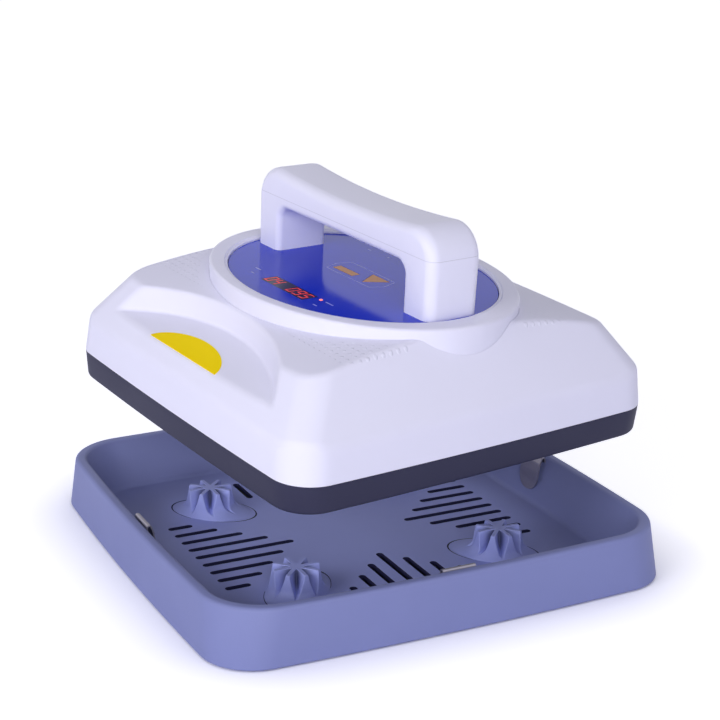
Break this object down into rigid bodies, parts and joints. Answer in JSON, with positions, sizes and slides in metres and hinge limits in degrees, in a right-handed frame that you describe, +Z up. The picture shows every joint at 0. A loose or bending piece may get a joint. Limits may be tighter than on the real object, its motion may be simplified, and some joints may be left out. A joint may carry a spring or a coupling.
{
  "type": "handheld heat press",
  "caption": "Small hand-held heat press with a white cover, oval control panel and arched handle, held above its square parking tray.",
  "frame": {"origin": "middle of the tray's underside, on the ground", "axes": "+Z up, -Y towards the user and the side with the blank label, +X to the right; the handle runs along X"},
  "size_m": [0.282, 0.2877, 0.2135],
  "materials": {
    "tray_plastic": "satin",
    "spring_steel": "brushed",
    "zinc_steel": "satin",
    "white_plastic": "satin",
    "dark_plastic": "matt",
    "panel_blue": "gloss",
    "key_orange": "satin",
    "clear_window": "gloss",
    "red_digits": "lit",
    "circuit_green": "satin",
    "plate_aluminium": "coated",
    "sheet_steel": "satin",
    "heater_foil": "satin",
    "blanket": "matt",
    "brass": "satin",
    "wire": "satin",
    "label_yellow": "satin",
    "component_grey": "satin"
  },
  "bodies": {
    "tray": {"tray_shell": "tray_plastic", "rest_post_1": "tray_plastic", "rest_post_2": "tray_plastic", "rest_post_3": "tray_plastic", "rest_post_4": "tray_plastic", "post_screws": "zinc_steel", "wall_clip_1": "spring_steel", "wall_clip_2": "spring_steel", "wall_clip_3": "spring_steel", "wall_clip_4": "spring_steel"},
    "carrier": {"tilt_sensor_ball": "zinc_steel"},
    "press": {"base_pan": "sheet_steel", "board_screws": "zinc_steel", "clamp_sheet": "sheet_steel", "control_board": "circuit_green", "control_ribbon": "wire", "cord_gland": "dark_plastic", "cover_screws": "zinc_steel", "display_digits": "red_digits", "display_module": "dark_plastic", "display_window": "clear_window", "gland_nut": "dark_plastic", "grip_screws": "zinc_steel", "guard_band": "dark_plastic", "handle_lower": "white_plastic", "handle_screws": "zinc_steel", "handle_upper": "white_plastic", "heat_sensor": "component_grey", "heater_leads": "wire", "heater_sheet": "heater_foil", "heating_plate": "plate_aluminium", "insulation_blanket": "blanket", "key_switches": "dark_plastic", "panel_carrier": "dark_plastic", "panel_overlay": "panel_blue", "panel_ring": "white_plastic", "panel_screws": "zinc_steel", "pillar_screws": "zinc_steel", "plate_screws": "zinc_steel", "plate_spacers": "brass", "power_board": "circuit_green", "power_board_screws": "zinc_steel", "power_board_spacers": "brass", "power_relay": "dark_plastic", "power_transformer": "component_grey", "ring_screws": "zinc_steel", "sensor_leads": "wire", "side_label": "label_yellow", "status_led": "red_digits", "support_pillars": "brass", "switch_frame": "dark_plastic", "terminal_blocks": "dark_plastic", "thermal_fuse": "component_grey", "tilt_sensor_can": "zinc_steel", "top_cover": "white_plastic"},
    "power_rocker": {"power_rocker": "dark_plastic"},
    "bar_key": {"bar_key": "key_orange"},
    "arrow_key": {"arrow_key": "key_orange"}
  },
  "joints": [
    {"name": "lift", "type": "slide", "parent": "tray", "child": "carrier", "axis": [0, 0, 1], "range_m": [-0.0671, 0]},
    {"name": "turn", "type": "hinge", "parent": "carrier", "child": "press", "pos_m": [-0.0334, -0.0034, 0.1457], "axis": [0, 0.3987, 0.9171], "range_deg": [-9.7, 0.05]},
    {"name": "rocker", "type": "hinge", "parent": "press", "child": "power_rocker", "pos_m": [-0.05923, 0.11845, 0.11343], "axis": [0.0823, -0.0893, 0.9926], "range_deg": [-16, 0]},
    {"name": "bar_press", "type": "slide", "parent": "press", "child": "bar_key", "axis": [-0.0668, -0.0052, -0.9978], "range_m": [0, 0.0005], "stiffness_N_per_m": 600, "springref_m": -0.0002},
    {"name": "arrow_press", "type": "slide", "parent": "press", "child": "arrow_key", "axis": [-0.0668, -0.0052, -0.9978], "range_m": [0, 0.0005], "stiffness_N_per_m": 600, "springref_m": -0.0002}
  ],
  "couplings": [
    {"joint": "turn", "follows": "lift", "rad_per_m": 2.5101}
  ]
}
